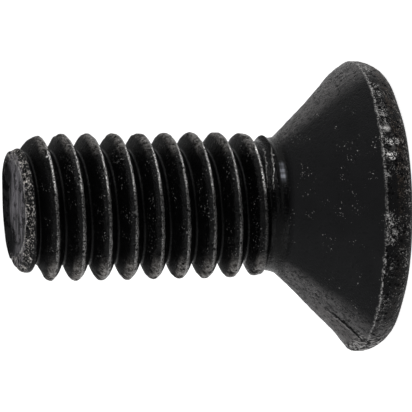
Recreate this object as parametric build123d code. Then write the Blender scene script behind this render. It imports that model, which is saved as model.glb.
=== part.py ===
"""Countersunk socket screw, M4 x 10: one cold-headed, thread-rolled piece of steel.

The screw stands on its head: the flat face of the head lies on z = 0 around the origin, the
shank runs up the +Z axis and the tip is at z = LENGTH. Every size is in millimetres.
"""
import os
from math import radians, sqrt, tan

from build123d import *

# ---------------------------------------------------------------- driving dimensions
LENGTH = 10.0            # over the head, as countersunk screws are measured

# thread: metric coarse M4, right-hand, blunted as rolling leaves it
PITCH = 0.7
MAJOR_D = 3.90           # over the crests (nominal 4, class 6g: 3.84 to 3.98)
FLANK_DEG = 30.0         # slope of a flank, half the thread angle
TRUNCATION = 0.10        # height that a crest, and a root, lacks from a sharp vee
BLUNT_FLAT = 0.07        # width of the flat on a crest, and in a root
BLUNT_H = 0.045          # height of the slope between that flat and the flank
THREAD_START_DEG = 210.5  # where the crest's helix crosses z = 0, counted from +X

# neck: what is left of the plain blank between the head and the thread's run-out
NECK_D = 3.48
NECK_H = 0.29            # from the corner of head and neck, as if it had no fillet
UNDERHEAD_R = 0.55       # that fillet
ROOT_RUNOUT = 0.50       # past the neck the roots sink to full depth over this length
CREST_RUNOUT = 0.83      # and the crests rise to full height over this one
LAST_CREST_D = 3.70      # over the lowest crest, at the end of the neck

# head
HEAD_D = 7.76            # over the rim
CSK_DEG = 90.0           # included angle of the countersunk face
TOP_FACE_D = 6.92        # flat face, inside the rim's rounding
RIM_ROUND_H = 0.62       # height of the rim's rounding
RIM_LAND_H = 0.17        # plain cylindrical band between the rounding and the seat

# hexagon socket
KEY = 2.5                # across flats
KEY_DEPTH = 1.8          # full hexagon, from the flat face
FLOOR_DEG = 120.0        # included angle of the floor that the punch leaves
MOUTH_D = 3.06           # over the chamfer at the mouth
MOUTH_DEG = 120.0        # included angle of that chamfer

# tip
POINT_FACE_D = 3.02      # flat end face
POINT_D = 3.26           # the blank's broken corner ends on this diameter ...
POINT_H = 0.10           # ... this far below the end face
LEAD_IN_DEG = 28.0       # the first crests rise along this angle to the axis

OVERLAP = 0.12           # the thread's ridge is buried this deep in the core

# ---------------------------------------------------------------- derived sizes
crest_radius = MAJOR_D / 2
sharp_height = PITCH / 2 / tan(radians(FLANK_DEG))        # of the thread without roundings
core_radius = crest_radius + 2 * TRUNCATION - sharp_height
seat_z = RIM_ROUND_H + RIM_LAND_H                         # wide end of the countersunk face
corner_z = seat_z + (HEAD_D - NECK_D) / 2 / tan(radians(CSK_DEG / 2))
neck_end_z = corner_z + NECK_H


def revolved(outline):
    """A solid of revolution about Z; outline() draws half its section, as (radius, z)."""
    with BuildPart() as body:
        with BuildSketch(Plane.XZ):
            with BuildLine():
                outline()
            make_face()
        revolve(axis=Axis.Z)
    return body.part


def head_and_core():
    """Head, fillet, neck and the core under the thread, as one turning.

    The core runs past the tip; the point is cut once the thread is on it.
    """
    rim, neck = HEAD_D / 2, NECK_D / 2
    end = LENGTH + PITCH

    def outline():
        Line((0, 0), (TOP_FACE_D / 2, 0))
        TangentArc((rim, RIM_ROUND_H), (TOP_FACE_D / 2, 0), tangent=(0, -1))
        Line((rim, RIM_ROUND_H), (rim, seat_z))
        FilletPolyline((rim, seat_z), (neck, corner_z), (neck, neck_end_z),
                       radius=UNDERHEAD_R)
        Polyline((neck, neck_end_z), (core_radius, neck_end_z + ROOT_RUNOUT),
                 (core_radius, end), (0, end), (0, 0))

    return revolved(outline)


def ridge_section():
    """Section of the rolled ridge in the radius-z plane, centred on z = 0.

    Crest and root are blunted alike, by a flat between two slopes. At its foot the outline
    runs on below the core's surface at the root's slope, so that the two cross cleanly.
    """
    flat = BLUNT_FLAT / 2
    flank = (TRUNCATION + BLUNT_H) * tan(radians(FLANK_DEG))   # half width where it starts
    slope = (flank - flat) / BLUNT_H
    sunk = 0.7 * flat                                  # along z, so next turns stay apart

    side = [
        (crest_radius, flat),
        (crest_radius - BLUNT_H, flank),
        (core_radius + BLUNT_H, PITCH / 2 - flank),
        (core_radius - sunk / slope, PITCH / 2 - flat + sunk),
        (core_radius - OVERLAP, PITCH / 2 - flat + sunk),
    ]
    other_side = [(radius, -z) for radius, z in reversed(side)]
    with BuildSketch(Plane.XZ) as section:
        with BuildLine():
            Polyline(*side, *other_side, close=True)
        make_face()
    return section.sketch.face()


def thread_room():
    """What point, dies and head leave for the ridge: a lead-in cone, then the run-out."""
    point, last = POINT_D / 2, LAST_CREST_D / 2
    wide = crest_radius + TRUNCATION                   # clear of every full crest
    buried = core_radius - OVERLAP / 2
    lead_in = tan(radians(LEAD_IN_DEG))
    run_out = (crest_radius - last) / CREST_RUNOUT
    end = LENGTH + PITCH / 2

    def outline():
        Polyline((0, end), (point - (end - LENGTH + POINT_H) * lead_in, end),
                 (wide, LENGTH - POINT_H - (wide - point) / lead_in),
                 (wide, neck_end_z + (wide - last) / run_out),
                 (last, neck_end_z), (buried, neck_end_z - (last - buried)),
                 (0, neck_end_z - PITCH), (0, end))

    return revolved(outline)


def thread():
    """The helical ridge, from inside the neck to past the tip, faded at both ends."""
    start_z = neck_end_z - 1.5 * PITCH
    end_z = LENGTH + PITCH
    helix = Helix(pitch=PITCH, height=end_z - start_z, radius=core_radius)
    ridge = Solid.sweep(ridge_section(), path=helix, is_frenet=True)
    turned = THREAD_START_DEG + 360.0 * start_z / PITCH
    return Pos(0, 0, start_z) * Rot(0, 0, turned) * ridge & thread_room()


def point_cutter():
    """Everything past the flat end face and outside its broken corner."""
    face, corner = POINT_FACE_D / 2, POINT_D / 2
    wide = MAJOR_D
    end = LENGTH + 2 * PITCH

    def outline():
        Polyline((0, LENGTH), (face, LENGTH),
                 (wide, LENGTH - POINT_H * (wide - face) / (corner - face)),
                 (wide, end), (0, end), (0, LENGTH))

    return revolved(outline)


def socket():
    """What the punch takes out: hexagon with a conical floor, and the mouth's chamfer."""
    corner = KEY / sqrt(3)                             # half across corners
    floor = tan(radians(90 - FLOOR_DEG / 2))
    mouth = tan(radians(90 - MOUTH_DEG / 2))
    below = -PITCH                                     # starts clear of the flat face

    def punch():
        Polyline((0, below), (2 * corner, below), (2 * corner, KEY_DEPTH - corner * floor),
                 (0, KEY_DEPTH + corner * floor), (0, below))

    def chamfer():
        Polyline((0, below), (MOUTH_D / 2 - below / mouth, below), (0, MOUTH_D / 2 * mouth),
                 (0, below))

    with BuildPart() as prism:
        with BuildSketch(Plane.XY.offset(below)):
            RegularPolygon(radius=KEY / 2, side_count=6, major_radius=False)
        extrude(amount=KEY_DEPTH + corner - below)
    return (prism.part & revolved(punch)) + revolved(chamfer)


def screw():
    return head_and_core() + thread() - point_cutter() - socket()


os.makedirs("parts", exist_ok=True)
export_step(screw(), "parts/screw.step")
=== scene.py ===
"""Countersunk socket screw, M4 x 10, in blackened steel.

The screw stands on its head: the head's flat face lies on z = 0 around the origin and the
tip points up. Sizes are written in millimetres and turned into metres by MM.
"""
import math
from types import SimpleNamespace as Marks

import bpy
from mathutils import Matrix, Vector, noise


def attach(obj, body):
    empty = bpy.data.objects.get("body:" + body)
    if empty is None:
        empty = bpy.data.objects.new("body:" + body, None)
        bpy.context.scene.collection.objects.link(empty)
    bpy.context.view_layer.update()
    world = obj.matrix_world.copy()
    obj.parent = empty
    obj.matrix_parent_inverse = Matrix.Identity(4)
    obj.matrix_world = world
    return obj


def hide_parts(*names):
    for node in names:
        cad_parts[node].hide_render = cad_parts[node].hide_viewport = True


MM = 0.001

# ------------------------------------------------------------------ sizes of the screw, mm
LENGTH = 10.0

PITCH = 0.7
MAJOR_R = 1.950          # over the crests
FLANK = math.radians(30)
CREST_FLAT = 0.010       # half the width of a crest's flat
CREST_ROUND = 0.115      # radius of its two corners
ROOT_ROUND = 0.050       # radius of a root's rounding
ROOT_R = (MAJOR_R + CREST_ROUND + ROOT_ROUND
          - (PITCH / 2 - CREST_FLAT) / math.tan(FLANK))
THREAD_START = math.radians(210.5)  # where the crest's helix crosses z = 0, from +X

NECK_R = 1.74
CORNER_Z = 2.93          # where neck and countersunk face would meet unrounded
NECK_END_Z = 3.22
UNDERHEAD_ROUND = 0.55
ROOT_RUNOUT = 0.50
CREST_RUNOUT = 0.83
LAST_CREST_R = 1.85
RUNOUT_SLOPE = 0.8       # how fast the last crest sinks into the neck
ROOT_CLEAR = 0.01        # the neck runs out this far under the roots
CUT_Z = CORNER_Z - 0.04  # the head is joined on here, on the countersunk face

POINT_FACE_R = 1.45      # flat end face
POINT_CORNER = math.radians(50)  # its broken corner
POINT_R = 1.63           # where the lead-in cone starts, POINT_H below the end face
POINT_H = 0.10
LEAD_IN = math.radians(28)

POINT_BLEND = 0.05       # roundings: from the broken corner to the lead-in,
LEAD_IN_BLEND = 0.12     # from the lead-in to the crests,
RUNOUT_BLEND = 0.04      # from the crests to their run-out
ROOT_BLEND = 0.05        # and from the roots to the neck

TIP_LEAN = (1.7, 1.0)    # the shorn end leans this far off square, in degrees, to +X and +Y
TIP_DROP = 0.100         # its edge towards -Y is this much below LENGTH
LEAN_FADE = 0.6          # the lean is gone this far below the end
LIP_R = 1.02             # the shear left the end face dished, with a lip from here outwards
LIP_H = 0.100            # at its highest, on the side towards +Y
LIP_RISE = (-1.2, 0.7)   # it rises between these shares of the way from -Y to +Y
LIP_DIP = 0.032          # its middle is this much lower
LIP_DIP_AT = (0.75, 1.0)
LIP_WORN = 0.22          # this share of the lip is gone on the side towards -X
LIP_WORN_AT = (0.15, 0.75)

RIM_R = 3.895
RIM_ROUND_H = 0.62
RIM_LAND_H = 0.17
TOP_FACE_R = 3.47
RIM_FULLNESS = 0.78      # how far the rim's rounding stands out, of a full arc
FACE_OFF_CENTRE = 0.10   # and its flat face this far towards -Y
FACE_CORNERS = 0.095     # the rim is drawn in this far at two corners of the flat face,
CORNER_AT = 50           # this many degrees either side of -Y
CORNER_WIDTH = 13
LESS_DRAWN_IN = 0.75     # and by this share of it towards -X
HEAD_OFF_CENTRE = 0.085  # the upset head sits this far off the thread's axis, towards -X
UPSET_Z = 1.25           # below this height,
UPSET_OVER = 0.45        # growing to its full amount over this much

KEY = 2.5
KEY_DEPTH = 1.8
DRILL_SLOPE = math.tan(math.radians(30))  # of the drilled floor and the chamfered mouth
MOUTH_R = 1.53
PAST_FACE = 0.5          # the cutter stands out this far through the flat face

# ------------------------------------------------------------------ fineness of the meshes, mm
TURN_STEPS = 240         # round the shank and the head
LONG_FLANK = 0.07        # longest edges on the flanks,
LONG_CONE = 0.075        # on the countersunk face
LONG_LAND = 0.06         # and on the rim's land
CREST_STEPS = 4          # edges on a crest's rounding,
ROOT_STEPS = 2           # on half a root's
RIM_STEPS = 11           # and on the rim's
SPARE_PITCHES = 1.6      # of rod below the cut
END_RINGS = (0.97, 0.93, 0.86, 0.76, 0.64, 0.5, 0.35, 0.2, 0.1)  # shares of the end's radius
FACE_RINGS = (0.985, 0.95, 0.89, 0.81, 0.72, 0.63, 0.54)  # shares of the flat face's radius
DOUBLE = 0.0015          # corners closer than this are one
LEVEL = 1e-4             # heights closer than this are the same


# ------------------------------------------------------------------ modelling helpers
def nothing_selected():
    if bpy.context.object and bpy.context.object.mode != "OBJECT":
        bpy.ops.object.mode_set(mode="OBJECT")
    bpy.ops.object.select_all(action="DESELECT")


def take(piece):
    nothing_selected()
    piece.select_set(True)
    bpy.context.view_layer.objects.active = piece
    return piece


def edit(piece, select="SELECT"):
    take(piece)
    bpy.ops.object.mode_set(mode="EDIT")
    bpy.ops.mesh.select_all(action=select)


def edit_done():
    bpy.ops.object.mode_set(mode="OBJECT")


def select_ring(piece, z):
    """Edit mode with only the corners at height z selected."""
    edit(piece, "DESELECT")
    edit_done()
    for corner in piece.data.vertices:
        corner.select = abs(corner.co.z - z * MM) < LEVEL * MM
    bpy.ops.object.mode_set(mode="EDIT")
    bpy.ops.mesh.select_mode(type="VERT")


def wire(name, outline):
    """A wire through the (radius, z) points of outline, in the XZ plane."""
    nothing_selected()
    bpy.ops.mesh.primitive_plane_add(size=MM)
    piece = bpy.context.object
    piece.name = piece.data.name = name
    points = [Vector((radius, 0, z)) * MM for radius, z in outline]
    edit(piece)
    bpy.ops.mesh.merge(type="CENTER")
    bpy.ops.transform.translate(value=points[0])
    for here, there in zip(points, points[1:]):
        bpy.ops.mesh.extrude_region_move(TRANSFORM_OT_translate={"value": there - here})
    edit_done()
    return piece


def merge_doubles(piece):
    edit(piece)
    bpy.ops.mesh.remove_doubles(threshold=DOUBLE * MM)
    edit_done()
    return piece


def face_outwards(piece):
    edit(piece)
    bpy.ops.mesh.normals_make_consistent(inside=False)
    edit_done()
    return piece


def turned(name, outline):
    """A closed solid: outline spun about Z."""
    piece = wire(name, outline)
    edit(piece)
    bpy.ops.mesh.spin(steps=TURN_STEPS, angle=math.tau, center=(0, 0, 0), axis=(0, 0, 1))
    edit_done()
    return face_outwards(merge_doubles(piece))


def apply_modifier(piece, kind, **settings):
    take(piece)
    modifier = piece.modifiers.new(kind.lower(), kind)
    for key, value in settings.items():
        setattr(modifier, key, value)
    bpy.ops.object.modifier_apply(modifier=modifier.name)
    return piece


def combine(piece, operation, other):
    """Cuts other out of piece, joins it on, or keeps what both hold; other is used up."""
    apply_modifier(piece, "BOOLEAN", operation=operation, object=other, solver="MANIFOLD")
    bpy.data.objects.remove(other)
    return piece


# ------------------------------------------------------------------ numbers and outlines
def smooth(value, low, high):
    """0 up to low, 1 from high on, and a smooth step between."""
    t = min(max((value - low) / (high - low), 0), 1)
    return t * t * (3 - 2 * t)


def fall(value, low, high):
    """1 up to low, 0 from high on."""
    return smooth(-value, -high, -low)


def between(value, start, full, end_full, end):
    """1 from full to end_full, fading to 0 at start and end."""
    return smooth(value, start, full) * fall(value, end_full, end)


def lesser(a, b, blend):
    """The lesser of a and b, with the corner between them rounded over blend."""
    h = min(max(0.5 + 0.5 * (b - a) / blend, 0), 1)
    return b * (1 - h) + a * h - blend * h * (1 - h)


def greater(a, b, blend):
    return -lesser(-a, -b, blend)


def divided(points, longest):
    """The same outline of (radius, z) points with no run longer than longest."""
    result = [points[0]]
    for here, there in zip(points, points[1:]):
        count = max(1, math.ceil(math.dist(here, there) / longest))
        for i in range(1, count + 1):
            t = i / count
            result.append((here[0] + (there[0] - here[0]) * t,
                           here[1] + (there[1] - here[1]) * t))
    return result


def arc(centre, radius, start, end, steps):
    """Points on a circle from angle start to end, both counted from +radius towards +z."""
    return [(centre[0] + radius * math.cos(start + (end - start) * i / steps),
             centre[1] + radius * math.sin(start + (end - start) * i / steps))
            for i in range(steps + 1)]


# ------------------------------------------------------------------ the threaded shank
def thread_outline():
    """One pitch of the thread's section, from the middle of a root to the next."""
    side = math.pi / 2 - FLANK
    crest = [(MAJOR_R, 0)] + arc((MAJOR_R - CREST_ROUND, CREST_FLAT), CREST_ROUND,
                                 0, side, CREST_STEPS)
    root = arc((ROOT_R + ROOT_ROUND, PITCH / 2), ROOT_ROUND,
               -math.pi / 2 - FLANK, -math.pi, ROOT_STEPS)
    half = crest + divided([crest[-1], root[0]], LONG_FLANK)[1:] + root[1:]
    return [(r, -z) for r, z in reversed(half[1:])] + half


def under_head_r(z):
    """Radius of the neck, its fillet and the start of the countersunk face, at height z."""
    back = UNDERHEAD_ROUND * math.tan(math.pi / 8)
    if z > CORNER_Z + back:
        return NECK_R
    if z < CORNER_Z - back * math.cos(math.pi / 4):
        return NECK_R + CORNER_Z - z
    rise = CORNER_Z + back - z
    return NECK_R + UNDERHEAD_ROUND - math.sqrt(UNDERHEAD_ROUND ** 2 - rise ** 2)


def shank_r(thread_r, z):
    """Radius of the shank where an endless thread would have thread_r, at height z."""
    lead_in = lesser(POINT_FACE_R + (LENGTH - z) * math.tan(POINT_CORNER),
                     POINT_R + (LENGTH - POINT_H - z) * math.tan(LEAD_IN), POINT_BLEND)
    past_neck = z - NECK_END_Z
    if past_neck < 0:
        run_out = LAST_CREST_R + past_neck * RUNOUT_SLOPE
        root = under_head_r(z)
    else:
        run_out = LAST_CREST_R + past_neck * (MAJOR_R - LAST_CREST_R) / CREST_RUNOUT
        root = NECK_R + (ROOT_R - ROOT_CLEAR - NECK_R) * min(past_neck / ROOT_RUNOUT, 1)
    r = lesser(lesser(thread_r, lead_in, LEAD_IN_BLEND), run_out, RUNOUT_BLEND)
    return greater(r, root, ROOT_BLEND)


def shank():
    """Thread rolled on an endless rod, cut at both ends and faded out at both."""
    start_z = CUT_Z - SPARE_PITCHES * PITCH
    turns = math.ceil((LENGTH + PITCH - start_z) / PITCH)
    piece = wire("shank", [(r, z + start_z) for r, z in thread_outline()])
    apply_modifier(piece, "SCREW", axis="Z", angle=math.tau, screw_offset=PITCH * MM,
                   iterations=turns, steps=TURN_STEPS, render_steps=TURN_STEPS,
                   use_merge_vertices=False, use_normal_calculate=False)
    merge_doubles(piece)
    angle = THREAD_START + math.tau * start_z / PITCH
    piece.data.transform(Matrix.Rotation(angle, 4, "Z"))
    for z, up in ((CUT_Z, -1), (LENGTH, 1)):
        edit(piece)
        bpy.ops.mesh.bisect(plane_co=(0, 0, z * MM), plane_no=(0, 0, up), use_fill=False,
                            clear_outer=True, threshold=LEVEL * MM)
        edit_done()
    for corner in piece.data.vertices:
        x, y, z = corner.co / MM
        r = math.hypot(x, y)
        change = shank_r(r, z) / r
        corner.co = Vector((x * change, y * change, z)) * MM
    return piece


def close_end(piece):
    """Closes the tip with rings to the middle of the end face."""
    select_ring(piece, LENGTH)
    smaller = 1
    for width in END_RINGS:
        change = width / smaller
        bpy.ops.mesh.extrude_edges_move()
        bpy.ops.transform.resize(value=(change, change, 1),
                                 center_override=(0, 0, LENGTH * MM))
        smaller = width
    bpy.ops.mesh.extrude_edges_move()
    bpy.ops.mesh.merge(type="CENTER")
    edit_done()


def lean_tip(piece):
    """The end leans off square and is dished, as the wire was shorn; both fade downwards."""
    to_x, to_y = (math.tan(math.radians(a)) for a in TIP_LEAN)
    for corner in piece.data.vertices:
        x, y, z = corner.co / MM
        share = max(0, 1 - (LENGTH - z) / LEAN_FADE)
        r = max(math.hypot(x, y), 0.01)
        lip = LIP_H * smooth(y / r, *LIP_RISE) - LIP_DIP * smooth(y / r, *LIP_DIP_AT)
        lip *= min(1, max(0, (r - LIP_R) / (POINT_FACE_R - LIP_R)))
        lip *= 1 - LIP_WORN * smooth(-x / r, *LIP_WORN_AT)
        lift = x * to_x + (y + POINT_FACE_R) * to_y - TIP_DROP + lip
        corner.co.z += lift * share * MM


# ------------------------------------------------------------------ the head
def head_rings():
    """Radii and heights of the head's rings, from the cut under the neck to the flat face."""
    seat_z = RIM_ROUND_H + RIM_LAND_H
    step = RIM_R - TOP_FACE_R
    rim_round = (RIM_ROUND_H ** 2 + step ** 2) / (2 * step)
    sweep = math.asin(RIM_ROUND_H / rim_round)
    rim = arc((RIM_R - rim_round, RIM_ROUND_H), rim_round, 0, -sweep, RIM_STEPS)
    chord = [TOP_FACE_R + step * z / RIM_ROUND_H for _, z in rim]
    rim = [(flat + (r - flat) * RIM_FULLNESS, z) for (r, z), flat in zip(rim, chord)]
    cone = divided([(under_head_r(CUT_Z), CUT_Z), (RIM_R, seat_z)], LONG_CONE)
    land = divided([(RIM_R, seat_z), rim[0]], LONG_LAND)[1:]
    face = [(TOP_FACE_R * share, 0) for share in FACE_RINGS]
    return cone[1:] + land + rim[1:] + face


def draw_head(piece):
    """Draws the head down from the shank's cut rim: countersunk face, rim and flat face."""
    select_ring(piece, CUT_Z)
    here_r, here_z = under_head_r(CUT_Z), CUT_Z
    for r, z in head_rings():
        bpy.ops.mesh.extrude_edges_move(
            TRANSFORM_OT_translate={"value": (0, 0, (z - here_z) * MM)})
        bpy.ops.transform.resize(value=(r / here_r, r / here_r, 1),
                                 center_override=(0, 0, z * MM))
        here_r, here_z = r, z
    bpy.ops.mesh.edge_face_add()
    edit_done()


def upset_head(piece):
    """The head is upset a little off the axis, and its flat face is less than round."""
    for corner in piece.data.vertices:
        z = corner.co.z / MM
        corner.co.x -= HEAD_OFF_CENTRE * MM * min(1, max(0, (UPSET_Z - z) / UPSET_OVER))
        low = max(0, 1 - z / RIM_ROUND_H)
        if corner.co.y < 0:
            aside = math.degrees(math.atan2(abs(corner.co.x), -corner.co.y))
            share = math.exp(-((aside - CORNER_AT) / CORNER_WIDTH) ** 2)
            share *= 1 if corner.co.x > 0 else LESS_DRAWN_IN
            closer = 1 - FACE_CORNERS * share * low / RIM_R
            corner.co.x *= closer
            corner.co.y *= closer
        corner.co.y -= FACE_OFF_CENTRE * MM * low


# ------------------------------------------------------------------ dents and unevenness, mm
DENTS = (  # angle from +X in degrees, z, half width round, half width along, depth
    (12, 2.20, 0.9, 0.45, 0.028),
    (12, 1.06, 0.8, 0.28, -0.055),
    (168, 1.08, 0.7, 0.25, 0.030),
    (178, 2.98, 0.9, 0.30, -0.045),
    (2, 3.06, 0.5, 0.16, -0.040),
    (2, 3.42, 0.5, 0.14, -0.045),
    (180, 9.52, 0.8, 0.12, 0.100),
    (180, 9.86, 0.7, 0.10, -0.075),
    (0, 9.90, 0.9, 0.25, 0.030),
    (150, 9.95, 0.5, 0.15, 0.085),
    (180, 9.18, 0.5, 0.12, 0.050),
    (184, 7.84, 0.16, 0.055, 0.080),
    (176, 7.13, 0.14, 0.050, 0.070),
    (186, 5.28, 0.14, 0.050, 0.070),
    (180, 4.60, 0.12, 0.050, 0.060),
    (4, 7.05, 0.14, 0.050, 0.060),
)
BURRS = ((3.3, 0.022, 17.0), (7.5, 0.016, 41.0))  # waves a mm, height, shift of the pattern
EVEN_R = 1.46            # inside this radius,
EVEN_Z = (0.03, 9.97)    # and outside these heights, nothing is dented
FULLER_FLANKS = 0.050    # the rolling left the flanks towards -X this much fuller
CHIP_DEPTH = 0.10        # of chips off the crests,
CHIP_WAVES = 5.2         # whose pattern has these waves a mm,
CHIP_SHIFT = 71          # and is shifted by this
CHIP_FROM = 0.26         # and chips where it is over this
CONE_WAVES = (1.6, 6.0)  # waves a mm of the countersunk face, broad and fine;
CONE_SWELL = 0.012       # height of the broad ones,
CONE_PITS = (0.006, 0.012)  # of the fine ones, and what is added at the face's sides
RIM_WAVES = 3.1
RIM_SWELL = 0.010


def dents(x, y, z, r):
    """How far the dents push in the skin at a point."""
    angle = math.degrees(math.atan2(y, x))
    drop = 0
    for toward, height, around, along, depth in DENTS:
        side = (angle - toward + 180) % 360 - 180
        across = math.radians(side) * r / around
        drop += depth * math.exp(-across ** 2 - ((z - height) / along) ** 2)
    return drop


def uneven(piece):
    """Forging dents, a wavy countersunk face and crests that the rolling left ragged."""
    for corner in piece.data.vertices:
        x, y, z = place = corner.co / MM
        r = math.hypot(x, y)
        if r < EVEN_R or not EVEN_Z[0] <= z <= EVEN_Z[1]:
            continue
        drop = dents(x, y, z, r)
        crest = smooth(r, 1.72, 1.94) * between(z, 3.2, 3.5, 9.6, 9.9)
        for waves, height, shift in BURRS:
            drop += crest * height * noise.noise(place * waves + Vector((shift, 0, 0)))
        fuller = smooth(-x, 0.9, 1.7) * between(r, 1.55, 1.64, 1.78, 1.92)
        drop -= FULLER_FLANKS * fuller * between(z, 3.3, 3.6, 8.8, 9.2)
        chip = noise.noise(place * CHIP_WAVES + Vector((0, CHIP_SHIFT, 0)))
        drop += crest * CHIP_DEPTH * max(0, chip - CHIP_FROM) * (1 + smooth(-x, 0.6, 1.8))
        cone = fall(z, 2.7, 2.95) * smooth(r, 1.9, 2.3)
        pits = CONE_PITS[0] + CONE_PITS[1] * smooth(abs(x) / r, 0.75, 0.98)
        drop += cone * CONE_SWELL * noise.noise(place * CONE_WAVES[0])
        drop += cone * pits * noise.noise(place * CONE_WAVES[1])
        drop += fall(z, 0.75, 0.95) * RIM_SWELL * noise.noise(place * RIM_WAVES)
        corner.co.x -= x / r * drop * MM
        corner.co.y -= y / r * drop * MM


# ------------------------------------------------------------------ the socket and the whole
def socket():
    """The hexagon socket as a solid: drilled floor, six flats and a chamfered mouth."""
    corner_r = KEY / 2 / math.cos(math.radians(30))
    beside = 0.4         # the drill and the cylinder reach this far past what they shape
    nothing_selected()
    bpy.ops.mesh.primitive_cylinder_add(vertices=6, radius=corner_r * MM,
                                        depth=(KEY_DEPTH + 2 * PAST_FACE) * MM,
                                        location=(0, 0, (KEY_DEPTH / 2 - PAST_FACE) * MM),
                                        rotation=(0, 0, math.radians(30)))
    flats = bpy.context.object
    bpy.ops.object.transform_apply()
    drill = turned("drill", [(0, -PAST_FACE), (corner_r + beside, -PAST_FACE),
                             (corner_r + beside, KEY_DEPTH - beside * DRILL_SLOPE),
                             (0, KEY_DEPTH + corner_r * DRILL_SLOPE)])
    mouth = turned("mouth", [(0, -PAST_FACE), (MOUTH_R + PAST_FACE / DRILL_SLOPE, -PAST_FACE),
                             (0, MOUTH_R * DRILL_SLOPE)])
    combine(flats, "INTERSECT", drill)
    return combine(flats, "UNION", mouth)


def screw_body():
    body = shank()
    close_end(body)
    draw_head(body)
    upset_head(body)
    lean_tip(body)
    uneven(body)
    face_outwards(body)
    return combine(body, "DIFFERENCE", socket())


# ------------------------------------------------------------------ camera
def camera():
    """Looks at the side of the shank from a little above, turned so that the tip is left."""
    tilt, roll = 0.207, 0.0159
    distance = 119.8
    pixels_per_mm, frame_px, sensor = 37.46, 412, 36.0
    aim = Vector((0, 0, LENGTH / 2))
    right, down = 8.5 / pixels_per_mm, 0.6 / pixels_per_mm
    forward = Vector((0, math.cos(tilt), -math.sin(tilt)))
    side = Vector((0, -math.sin(tilt), -math.cos(tilt)))
    up = Vector((1, 0, 0))
    turned_side = math.cos(roll) * side - math.sin(roll) * up
    turned_up = math.sin(roll) * side + math.cos(roll) * up
    place = aim - forward * distance + turned_side * right - turned_up * down
    data = bpy.data.cameras.new("camera")
    data.sensor_width = sensor
    data.lens = sensor * distance * pixels_per_mm / frame_px
    data.clip_start = 0.01
    data.clip_end = 10
    eye = bpy.data.objects.new("camera", data)
    turn = Matrix((turned_side, turned_up, -forward)).transposed()
    eye.matrix_world = Matrix.Translation(place * MM) @ turn.to_4x4()
    bpy.context.collection.objects.link(eye)
    bpy.context.scene.camera = eye


# ------------------------------------------------------------------ shader nodes
class Nodes:
    """Builds a node tree with short calls; nearly every call gives back the socket it made."""

    def __init__(self, tree):
        self.tree = tree

    def add(self, kind, inputs=(), **settings):
        node = self.tree.nodes.new(kind)
        for key, value in settings.items():
            setattr(node, key, value)
        for key, value in dict(inputs).items():
            self.put(node.inputs[key], value)
        return node

    def put(self, socket, value):
        if isinstance(value, bpy.types.NodeSocket):
            self.tree.links.new(value, socket)
        else:
            socket.default_value = value

    def calc(self, operation, *values, clamp=False):
        node = self.add("ShaderNodeMath", operation=operation, use_clamp=clamp)
        for socket, value in zip(node.inputs, values):
            self.put(socket, value)
        return node.outputs[0]

    def fold(self, operation, values):
        result = values[0]
        for value in values[1:]:
            result = self.calc(operation, result, value)
        return result

    def plus(self, *values):
        return self.fold("ADD", values)

    def times(self, *values):
        return self.fold("MULTIPLY", values)

    def most(self, *values):
        return self.fold("MAXIMUM", values)

    def rest(self, value):
        """What value leaves of 1."""
        return self.calc("SUBTRACT", 1.0, value)

    def rise(self, value, low, high, to_low=0.0, to_high=1.0):
        """Smooth step from to_low at low to to_high at high. It needs no clamp."""
        node = self.add("ShaderNodeMapRange", interpolation_type="SMOOTHSTEP", clamp=False,
                        inputs={"Value": value, "From Min": low, "From Max": high,
                                "To Min": to_low, "To Max": to_high})
        return node.outputs[0]

    def band(self, value, start, full, end_full, end):
        """1 between full and end_full, fading to 0 at start and end."""
        return self.times(self.rise(value, start, full),
                          self.rise(value, end_full, end, 1.0, 0.0))

    def mixed(self, share, first, second):
        """One shader at share 0, the other at 1."""
        node = self.add("ShaderNodeMixShader")
        for socket, value in zip(node.inputs, (share, first.outputs[0], second.outputs[0])):
            self.put(socket, value)
        return node


# ------------------------------------------------------------------ floor and light
FLOOR_WIDTH = 600
PAPER = 0.80             # white of the paper,
PAPER_GLOW = 0.80        # and what the camera and mirrors see on top of it
SIDES_LIGHT = 0.8        # brightness of the room's sides,
BACK_LIGHT = 0.50        # of a strip behind the screw,
OVERHEAD_LIGHT = 0.22    # overhead
ROOM_LIGHT = 0.05        # and everywhere


def floor():
    nothing_selected()
    bpy.ops.mesh.primitive_plane_add(size=FLOOR_WIDTH * MM)
    piece = bpy.context.object
    piece.name = piece.data.name = "floor"
    mat = bpy.data.materials.new("white_paper")
    mat.use_nodes = True
    mat.node_tree.nodes.clear()
    n = Nodes(mat.node_tree)
    paper = n.add("ShaderNodeBsdfDiffuse", inputs={"Color": (PAPER, PAPER, PAPER, 1)})
    glow = n.add("ShaderNodeEmission", inputs={"Strength": PAPER_GLOW})
    lit = n.add("ShaderNodeAddShader", inputs={0: paper.outputs[0], 1: glow.outputs[0]})
    path = n.add("ShaderNodeLightPath")
    seen = n.most(path.outputs["Is Camera Ray"], path.outputs["Is Glossy Ray"],
                  path.outputs["Is Transmission Ray"])
    n.add("ShaderNodeOutputMaterial", inputs={0: n.mixed(seen, paper, lit).outputs[0]})
    piece.data.materials.append(mat)


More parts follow.
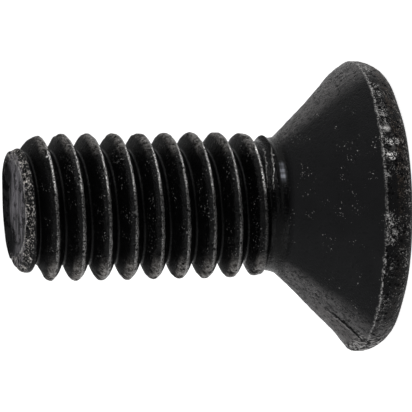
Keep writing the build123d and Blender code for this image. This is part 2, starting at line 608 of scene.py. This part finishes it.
def studio_room():
    """A room that is bright at the sides and behind, dim overhead and at the camera's end."""
    room = bpy.data.worlds.new("studio_room")
    bpy.context.scene.world = room
    room.use_nodes = True
    room.node_tree.nodes.clear()
    n = Nodes(room.node_tree)
    way = n.add("ShaderNodeSeparateXYZ",
                inputs={"Vector": n.add("ShaderNodeTexCoord").outputs["Generated"]})
    x, y, z = way.outputs
    low = n.rise(z, 0.1, 0.95, 1.0, 0.0)
    sides = n.times(n.rise(n.calc("ABSOLUTE", x), 0.25, 0.95), low, SIDES_LIGHT)
    aside = n.rise(n.calc("ABSOLUTE", x), 0.12, 0.40, 1.0, 0.45)
    back = n.times(n.rise(y, 0.1, 0.95), n.band(z, 0.08, 0.22, 0.32, 0.50), aside, BACK_LIGHT)
    overhead = n.rise(z, 0.55, 0.98, 0.0, OVERHEAD_LIGHT)
    glow = n.plus(sides, back, n.plus(overhead, ROOM_LIGHT))
    light = n.add("ShaderNodeBackground", inputs={"Color": (1, 1, 1, 1), "Strength": glow})
    white = n.add("ShaderNodeBackground", inputs={"Color": (1, 1, 1, 1), "Strength": 1.0})
    seen = n.add("ShaderNodeLightPath").outputs["Is Camera Ray"]
    n.add("ShaderNodeOutputWorld", inputs={0: n.mixed(seen, light, white).outputs[0]})


def softbox(name, towards, width, height, watts, colour=(1, 1, 1)):
    """A square lamp at the point towards, in millimetres, turned to the middle of the screw."""
    data = bpy.data.lights.new(name, "AREA")
    data.shape = "RECTANGLE"
    data.size, data.size_y = width * MM, height * MM
    data.energy = watts
    data.color = colour
    lamp = bpy.data.objects.new(name, data)
    place = Vector(towards) * MM
    middle = Vector((0, 0, LENGTH / 2)) * MM
    turn = (middle - place).to_track_quat("-Z", "Y")
    lamp.matrix_world = Matrix.Translation(place) @ turn.to_matrix().to_4x4()
    bpy.context.collection.objects.link(lamp)


def lamps():
    softbox("key_softbox", (90, -52, 38), 30, 30, 0.055)
    softbox("fill_softbox", (-80, -45, 60), 50, 50, 0.050, (0.98, 0.99, 1.0))


# ------------------------------------------------------------------ finish
OXIDE = (0.0080, 0.0081, 0.0086, 1), (0.0118, 0.0120, 0.0127, 1)  # from patch to patch
PIT_AND_GROOVE_SHADE_BLACK = (0.0008, 0.0008, 0.0009, 1)      # of pits, and painted shade in the thread's grooves
RIM_BLACK = (0.0012, 0.0012, 0.0014, 1)
END_GREY = (0.300, 0.283, 0.312, 1)
CONE_FILM_SHEEN_GREY = (0.135, 0.130, 0.130, 1), (0.122, 0.118, 0.118, 1)  # grey film and painted sheen on the cone's sides, towards +X, towards -X
LAP_GREY = (0.110, 0.103, 0.102, 1)
SWIRL_GREY = (0.190, 0.182, 0.176, 1)
RUST_BROWN = (0.060, 0.044, 0.033, 1)
# painted highlight on the neck's fillet
NECK_HIGHLIGHT_BLUE = (0.300, 0.310, 0.350, 1)
CREST_FILM_SHEEN_GREY = (0.074, 0.065, 0.058, 1), (0.125, 0.112, 0.100, 1)  # grey film and painted sheen on the crests' sides, towards +X and, lighter, towards -X
STEEL = (0.62, 0.60, 0.58, 1), (0.95, 0.94, 0.93, 1)
TIP_STEEL = (0.68, 0.645, 0.61, 1)
BARE_METAL = 0.9         # how metallic the bare steel is
ROUGHNESS = 0.28         # of the smoothest oxide
SHEEN = 0.07             # specular level of the oxide
BUMP_STRENGTH = 0.8
BUMP_H = 0.03            # mm

CREST_PITS = (  # small pits on the crests' sides, mm
    (-1.87, -0.20, 7.78), (-1.76, -0.65, 7.82), (-1.84, -0.35, 7.13), (-1.87, -0.20, 5.71),
    (-1.76, -0.65, 4.96), (-1.79, -0.57, 4.23), (-1.63, -0.90, 8.12), (-1.76, -0.65, 8.89),
    (-1.70, -0.75, 6.40), (-1.85, -0.30, 6.30), (-1.80, -0.50, 3.62))
CREST_PIT_R = 0.16
NICKS = (((1.36, -1.40, 9.30), 0.060), ((-0.27, -1.74, 3.30), 0.045),  # place, radius, mm
         ((-0.47, -3.62, 0.31), 0.07))


class Skin(Nodes):
    """What the marks on the screw share: its measures in millimetres, and grains of noise."""

    def __init__(self, tree):
        super().__init__(tree)
        place = self.add("ShaderNodeTexCoord").outputs["Object"]
        self.mm = self.add("ShaderNodeVectorMath", operation="SCALE",
                           inputs={"Vector": place, "Scale": 1 / MM}).outputs[0]
        axes = self.add("ShaderNodeSeparateXYZ", inputs={"Vector": self.mm})
        self.x, self.y, self.z = x, y, z = axes.outputs
        self.radius = self.calc("SQRT", self.plus(self.times(x, x), self.times(y, y)))
        turn = self.calc("DIVIDE", self.calc("ARCTAN2", y, x), math.tau)
        pitches = self.plus(self.calc("SUBTRACT", self.calc("DIVIDE", z, PITCH), turn),
                            THREAD_START / math.tau + 0.5)
        self.from_crest = self.times(self.calc("SUBTRACT", self.calc("FRACT", pitches), 0.5),
                                     PITCH)
        self.sideways = self.calc("DIVIDE", self.calc("ABSOLUTE", x), self.radius)
        self.backward = self.calc("DIVIDE", y, self.radius)
        self.below = self.rise(x, -0.3, 0.3, 1.0, 0.0)
        self.on_rim = self.rise(self.radius, 3.10, 3.35)
        self.on_thread = self.band(z, 3.40, 3.62, 9.55, 9.7)

        self.fine = self.grain(24.0, 2.0, 0.6)
        self.medium = self.grain(6.0, 3.0, 0.6)
        self.broad = self.grain(1.3, 2.0)
        self.patches = self.grain(2.2, 1.0)
        self.dots = self.grain(26.0, 0.0)
        self.ragged = self.plus(self.times(self.medium, 0.6), self.times(self.fine, 0.6))
        self.wavy_z = self.wavy(z, 0.16)

    def grain(self, scale, detail, roughness=0.5, distortion=0.0, along=None):
        """Noise of this many waves a mm; along gives the waves for each axis."""
        place = self.mm
        if along:
            place = self.add("ShaderNodeMapping",
                             inputs={"Vector": place, "Scale": along}).outputs[0]
        node = self.add("ShaderNodeTexNoise",
                        inputs={"Vector": place, "Scale": scale, "Detail": detail,
                                "Roughness": roughness, "Distortion": distortion})
        return node.outputs[0]

    def wavy(self, value, amount):
        """value, shifted to and fro by up to half of amount."""
        return self.plus(value, self.times(self.calc("SUBTRACT", self.medium, 0.5), amount))

    def spot(self, place, radius):
        """1 at a place in millimetres, fading to 0 at radius from it."""
        gap = self.add("ShaderNodeVectorMath", operation="DISTANCE",
                       inputs={0: self.mm, 1: place}).outputs["Value"]
        return self.rise(gap, radius * 0.2, radius, 1.0, 0.0)

    def colours(self, share, first, second):
        """The first colour at share 0, the second at 1."""
        node = self.add("ShaderNodeMix", data_type="RGBA")
        self.put(node.inputs[0], share)
        self.put(node.inputs[6], first)
        self.put(node.inputs[7], second)
        return node.outputs[2]


def scattered_pits(s):
    cells = s.add("ShaderNodeTexVoronoi", inputs={"Vector": s.mm, "Scale": 8.0})
    chosen = s.add("ShaderNodeSeparateColor", inputs={"Color": cells.outputs["Color"]}).outputs[0]
    more_below = s.times(s.rise(s.x, -1.75, -1.55, 0.24, 0.0),
                         s.rise(s.radius, 1.99, 2.03, 1.0, 0.0))
    return s.times(s.rise(cells.outputs["Distance"], 0.15, 0.50, 1.0, 0.0),
                   s.rise(s.plus(chosen, more_below), 0.62, 0.66))


def thread_marks(s):
    """Rubbed lines along the crests, and the grain, pits and a grey film on their sides; the film
    is partly painted sheen.
    """
    from_edge = s.wavy(s.from_crest, 0.06)
    on_crest = s.times(s.rise(s.radius, 1.74, 1.84), s.on_thread)
    bright_line = s.times(s.band(from_edge, -0.125, -0.105, -0.065, -0.048), on_crest,
                          s.rise(s.ragged, 0.42, 0.52), s.band(s.x, 0.15, 0.60, 1.5, 1.8),
                          s.rise(s.fine, 0.43, 0.55, 0.15, 1.0))
    dull_line = s.times(s.band(from_edge, -0.150, -0.118, -0.055, -0.020), on_crest,
                        s.rest(s.times(s.band(s.x, -0.9, -0.4, 0.3, 0.6), 0.45)),
                        s.rise(s.fine, 0.43, 0.58, 0.15, 1.0), s.rise(s.z, 3.5, 3.8, 0.5, 1.0),
                        s.rise(s.ragged, 0.40, 0.60, 0.3, 1.0), 0.36)
    top = s.times(s.rise(s.radius, 1.80, 1.93), s.rise(s.z, 3.1, 3.4))
    sides = s.times(top, s.rise(s.sideways, 0.65, 0.93))
    return Marks(
        top=top,
        lines=s.most(bright_line, dull_line),
        # partly painted sheen: a grey film on the crest tops where they turn to the sides, ±X
        film=s.times(sides, s.rise(s.medium, 0.35, 0.7, 0.2, 0.9)),
        grain=s.times(sides, s.rise(s.ragged, 0.56, 0.68)),
        specks=s.times(s.rise(s.dots, 0.72, 0.77), s.on_thread, s.rise(s.radius, 1.55, 1.72),
                       s.rise(s.patches, 0.46, 0.62)),
        pits=s.times(s.most(*(s.spot(place, CREST_PIT_R) for place in CREST_PITS)),
                     s.rise(s.fine, 0.38, 0.44)))


def tip_marks(s):
    """The grey, streaked end face with its dark marks and painted shade at its far edge, and the
    rough edge around it.
    """
    lean_x, lean_y = (math.tan(math.radians(a)) for a in TIP_LEAN)
    lip = s.calc("SUBTRACT", s.rise(s.backward, *LIP_RISE, 0.0, LIP_H),
                 s.rise(s.backward, *LIP_DIP_AT, 0.0, LIP_DIP))
    outward = s.calc("DIVIDE", s.calc("SUBTRACT", s.radius, LIP_R), POINT_FACE_R - LIP_R,
                     clamp=True)
    unworn = s.rise(s.calc("DIVIDE", s.x, s.radius), -LIP_WORN_AT[1], -LIP_WORN_AT[0],
                    1 - LIP_WORN, 1.0)
    end_z = s.plus(s.times(s.x, lean_x), s.times(s.plus(s.y, POINT_FACE_R), lean_y),
                   s.times(lip, outward, unworn), LENGTH - TIP_DROP)
    depth = s.calc("SUBTRACT", end_z, s.z)
    face = s.rise(depth, 0.01, 0.04, 1.0, 0.0)
    broken_r = s.wavy(s.plus(s.radius, s.times(s.sideways, s.sideways, 0.20)), 0.15)
    edge = s.times(s.band(depth, -0.08, -0.04, 0.17, 0.235), s.rise(broken_r, 1.45, 1.53),
                   s.rise(s.backward, 0.2, 0.7, 1.0, 0.25))
    grain = s.plus(s.times(s.fine, 0.45), s.times(s.grain(9.0, 3.0, 0.75), 0.55))
    # painted shade: the end face is made darker towards its far edge, towards +Y
    painted_far_shade = s.times(s.rise(s.wavy(s.radius, 0.35), 0.50, 1.05),
                       s.rise(s.backward, 0.0, 0.5), 0.97)
    return Marks(
        depth=depth, face=face, edge=edge,
        rough=s.times(edge, s.rise(grain, 0.495, 0.62), s.rise(s.patches, 0.36, 0.56, 0.6, 1.0),
                      s.rise(s.medium, 0.38, 0.55, 0.5, 1.15)),
        line=s.times(s.band(depth, -0.03, -0.01, 0.02, 0.05), s.rise(s.ragged, 0.50, 0.62),
                     s.rise(s.backward, -0.6, 0.0, 1.0, 0.0),
                     s.band(broken_r, 1.40, 1.44, 1.50, 1.54)),
        streaks=s.grain(1.0, 4.0, 0.7, along=(0.9, 8.0, 1.0)),
        dark=s.times(face, s.rise(s.grain(1.0, 3.0, 0.7, along=(3.0, 1.3, 1.0)), 0.52, 0.60),
                     s.rise(s.fine, 0.35, 0.50)),
        light=s.rest(painted_far_shade))


def rim_marks(s):
    """The rim's broken bright lines, crumbs, rubbed patches, two bare-metal spots of painted
    highlight and a little rust.
    """
    band = s.times(s.band(s.z, 0.0, 0.1, 0.76, 0.82), s.on_rim)
    winding = s.band(s.grain(13.0, 1.0), 0.445, 0.475, 0.505, 0.535)
    wavy_x = s.wavy(s.x, 0.30)
    rubbed = s.most(s.times(s.band(wavy_x, 1.48, 1.56, 1.64, 1.72),
                            s.band(s.wavy_z, 0.28, 0.36, 0.64, 0.74)),
                    s.times(s.band(wavy_x, 1.10, 1.18, 1.28, 1.36),
                            s.band(s.wavy_z, 0.36, 0.44, 0.66, 0.76)))
    more_above = s.rise(s.x, 1.6, 2.1, 0.0, 0.07)
    return Marks(
        band=band,
        line=s.times(s.band(s.wavy_z, 0.735, 0.77, 0.79, 0.825), s.rise(s.ragged, 0.46, 0.64),
                     s.on_rim, s.plus(s.times(s.rise(s.fine, 0.48, 0.56), 0.80), 0.20),
                     s.rest(s.times(s.band(s.x, -1.4, -1.1, 0.8, 1.1), 0.55))),
        crumbs=s.times(s.band(s.wavy_z, 0.44, 0.62, 0.79, 0.83), winding,
                       s.rise(s.medium, 0.42, 0.54),
                       s.rise(s.plus(s.patches, more_above), 0.44, 0.54),
                       s.rise(s.x, -2.0, -1.2, 0.45, 1.0), s.on_rim),
        patch=s.times(s.band(s.z, 0.2, 0.45, 0.75, 0.85), s.rise(s.patches, 0.55, 0.70),
                      s.on_rim, s.rise(s.ragged, 0.60, 0.75),
                      s.band(s.x, -2.2, -1.4, 0.3, 1.2)),
        face_line=s.times(s.band(s.z, 0.02, 0.08, 0.18, 0.30), s.rise(s.radius, 3.3, 3.45),
                          s.rise(s.ragged, 0.64, 0.76)),
        rubbed=s.times(rubbed, s.most(winding, s.rise(s.fine, 0.54, 0.60)),
                       s.rise(s.ragged, 0.54, 0.66, 0.25, 1.1)),
        # painted highlight: two bare-metal spots placed where the rim's highlight falls
        glow=s.most(s.times(s.spot((1.97, -3.36, 0.60), 0.155),
                            s.rise(s.fine, 0.38, 0.60, 0.5, 1.3)),
                    s.times(s.spot((1.46, -3.58, 0.50), 0.15), 0.15)),
        grain=s.times(band, s.rise(s.plus(s.times(s.fine, 0.8), s.times(s.patches, 0.2)),
                                   0.60, 0.68)),
        rust=s.times(s.band(s.wavy_z, 0.05, 0.15, 0.42, 0.52), s.rise(s.ragged, 0.60, 0.70),
                     s.rise(s.x, -0.5, 1.0, 0.2, 0.8)))


def lap_marks(s):
    """A lap in the countersunk face, with a lip, and swirls where the rim was upset by it."""
    around = s.times(s.calc("ARCTAN2", s.x, s.times(s.y, -1.0)), math.degrees(1))  # from -Y
    lap = s.plus(s.wavy(around, 7.0), s.times(s.calc("SUBTRACT", s.z, 1.2), 2.0))
    on_lap = s.band(s.z, 0.80, 0.90, 1.45, 1.95)
    upset = s.times(s.band(around, -104.0, -92.0, -72.0, -62.0),
                    s.band(s.z, 0.15, 0.3, 0.9, 1.05))
    ripple = s.grain(1.0, 2.0, 0.5, 0.8, along=(15.0, 4.0, 4.5))
    return Marks(
        groove=s.times(s.band(lap, -72.0, -70.8, -69.6, -68.4), on_lap,
                       s.rise(s.fine, 0.36, 0.46, 0.3, 1.0)),
        lip=s.times(s.band(lap, -74.0, -72.6, -71.8, -70.8), on_lap,
                    s.rise(s.ragged, 0.5, 0.62)),
        film=s.times(s.band(lap, -118.0, -100.0, -73.0, -70.5), s.band(s.z, 0.6, 0.9, 1.7, 2.2),
                     s.rise(s.ragged, 0.40, 0.64)),
        swirls=s.times(s.rise(ripple, 0.50, 0.60), upset),
        swirl_lines=s.times(s.band(ripple, 0.36, 0.41, 0.45, 0.49), upset))


def cone_marks(s):
    """Specks on the countersunk face, and its two sides, where a grey film with painted sheen
    lies.
    """
    sides = s.times(s.rise(s.plus(s.sideways, s.times(s.below, 0.06)), 0.82, 0.99),
                    s.band(s.z, 0.03, 0.10, 2.7, 3.0))
    return Marks(
        sides=sides,
        # partly painted sheen: a grey film on the two sides, ±X, standing for grazing sheen
        film=s.times(sides, s.rise(s.ragged, 0.45, 0.68)),
        specks=s.times(s.rise(s.dots, 0.750, 0.79), s.rise(s.patches, 0.54, 0.68),
                       s.rise(s.z, 2.7, 3.0, 1.0, 0.0)))


def neck_marks(s):
    """Two fine lines where the thread runs out, and a painted highlight on the fillet."""
    skew_z = s.plus(s.wavy_z, s.times(s.x, 0.10))
    lines = s.most(s.times(s.band(skew_z, 3.475, 3.495, 3.51, 3.53), 0.35),
                   s.band(skew_z, 3.305, 3.32, 3.33, 3.345))
    return Marks(
        lines=s.times(lines, s.rise(s.fine, 0.42, 0.56, 0.2, 1.0),
                      s.band(s.x, 0.35, 0.5, 1.3, 1.6)),
        # painted highlight: a bluish-white patch on the fillet, standing for a lamp's reflection
        shine=s.times(s.band(s.z, 2.90, 2.97, 3.03, 3.10), s.band(s.x, 0.52, 0.80, 0.88, 1.18),
                      s.rise(s.grain(1.0, 1.0, along=(13.0, 1.0, 1.0)), 0.35, 0.55, 0.35, 1.0),
                      s.rise(s.y, -0.5, 0.0, 1.0, 0.0),
                      s.rise(s.grain(1.0, 1.0, along=(0.8, 0.8, 26.0)), 0.30, 0.62, 0.15, 1.0)))


def blackened_steel():
    """Black oxide on steel: rubbed bright on the thread's edge, speckled where it is rough."""
    mat = bpy.data.materials.new("blackened_steel")
    mat.use_nodes = True
    s = Skin(mat.node_tree)
    skin = mat.node_tree.nodes["Principled BSDF"]
    thread, cone, tip = thread_marks(s), cone_marks(s), tip_marks(s)
    rim, lap, neck = rim_marks(s), lap_marks(s), neck_marks(s)

    bare = s.most(thread.lines, s.times(thread.grain, 0.19), s.times(thread.specks, 0.25),
                  s.times(rim.line, 0.42), s.times(rim.grain, 0.26), s.times(rim.crumbs, 0.45),
                  s.times(rim.glow, 0.60), s.times(rim.rubbed, 0.75), s.times(rim.patch, 0.45),
                  s.times(rim.face_line, 0.35), s.times(cone.specks, 0.5),
                  s.times(lap.swirls, 0.35), s.times(lap.lip, 0.20),
                  s.times(neck.lines, s.rise(s.ragged, 0.4, 0.6), 0.8),
                  *(s.spot(place, radius) for place, radius in NICKS))
    rough_skin = s.most(rim.band, thread.top, tip.edge, s.times(cone.sides, 0.6))
    pitted = s.times(scattered_pits(s), s.plus(s.times(rough_skin, 0.8), 0.2))
    pitted = s.most(pitted, lap.groove, lap.swirl_lines, s.times(tip.dark, 0.8), thread.pits)
    worn = s.times(s.most(bare, tip.rough, s.times(tip.line, 0.8)), s.rest(pitted))

    # painted shade: the shank under the crests' radius, grooves and neck, is made near black
    shaded_grooves = s.times(s.rise(s.z, 2.75, 2.95), s.rise(s.radius, 1.93, 1.99, 1.0, 0.0),
                      s.rise(tip.depth, 0.1, 0.3))
    end_film_and_far_shade = s.times(tip.face, s.rise(tip.streaks, 0.42, 0.62), tip.light,
                       s.rise(s.x, -1.1, -0.3, 0.55, 1.0))
    oxide = s.colours(s.broad, *OXIDE)
    for share, colour in ((shaded_grooves, PIT_AND_GROOVE_SHADE_BLACK), (end_film_and_far_shade, END_GREY), (rim.band, RIM_BLACK),
                          (cone.film, s.colours(s.below, *CONE_FILM_SHEEN_GREY)), (lap.film, LAP_GREY),
                          (lap.swirls, SWIRL_GREY), (s.times(rim.rust, 0.8), RUST_BROWN),
                          (neck.shine, NECK_HIGHLIGHT_BLUE),
                          (thread.film, s.colours(s.below, *CREST_FILM_SHEEN_GREY)),
                          (pitted, PIT_AND_GROOVE_SHADE_BLACK)):
        oxide = s.colours(share, oxide, colour)
    steel = s.colours(tip.edge, s.colours(s.medium, *STEEL), TIP_STEEL)
    s.put(skin.inputs["Base Color"], s.colours(worn, oxide, steel))
    s.put(skin.inputs["Metallic"], s.times(worn, BARE_METAL))

    # where the far edge has painted shade it is also made rougher and less glossy
    far_end = s.times(tip.face, s.rest(tip.light))
    rough = s.plus(s.times(s.broad, 0.10), s.times(s.fine, 0.12), ROUGHNESS,
                   s.times(tip.edge, 0.15), s.times(rim.band, 0.20), s.times(far_end, 0.35))
    smooth_neck = s.times(s.band(s.z, 2.70, 2.80, 3.9, 4.2), 0.14)
    s.put(skin.inputs["Roughness"], s.calc("ADD", s.calc("SUBTRACT", rough, smooth_neck),
                                           s.times(pitted, 0.4), clamp=True))
    s.put(skin.inputs["Specular IOR Level"],
          s.calc("SUBTRACT", SHEEN, s.times(far_end, 0.055)))

    height = s.plus(s.times(s.fine, 0.6), s.times(s.medium, 0.4), s.times(worn, 0.25),
                    s.times(tip.face, tip.streaks, 2.2), s.times(s.fine, rough_skin, 0.9),
                    s.times(neck.lines, 0.8))
    height = s.calc("SUBTRACT", height, s.times(pitted, 1.2))
    bump = s.add("ShaderNodeBump", inputs={"Height": height, "Strength": BUMP_STRENGTH,
                                           "Distance": BUMP_H * MM})
    s.put(skin.inputs["Normal"], bump.outputs[0])
    return mat


# ------------------------------------------------------------------ the scene
SMOOTH_BELOW = math.radians(40)  # edges of a lesser angle are shaded smooth

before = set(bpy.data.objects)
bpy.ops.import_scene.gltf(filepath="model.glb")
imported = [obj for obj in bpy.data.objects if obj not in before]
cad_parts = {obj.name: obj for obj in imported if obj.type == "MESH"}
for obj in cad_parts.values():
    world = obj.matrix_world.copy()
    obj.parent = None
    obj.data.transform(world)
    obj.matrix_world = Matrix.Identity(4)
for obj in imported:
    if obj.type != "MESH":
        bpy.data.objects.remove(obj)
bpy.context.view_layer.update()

piece = screw_body()
piece.name = piece.data.name = "screw_body"
piece.data.materials.clear()
piece.data.materials.append(blackened_steel())
for face in piece.data.polygons:
    face.material_index = 0
take(piece)
bpy.ops.object.shade_smooth_by_angle(angle=SMOOTH_BELOW)
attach(piece, "root")
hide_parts("screw")

floor()
studio_room()
lamps()
camera()
bpy.context.scene.view_settings.view_transform = "Standard"
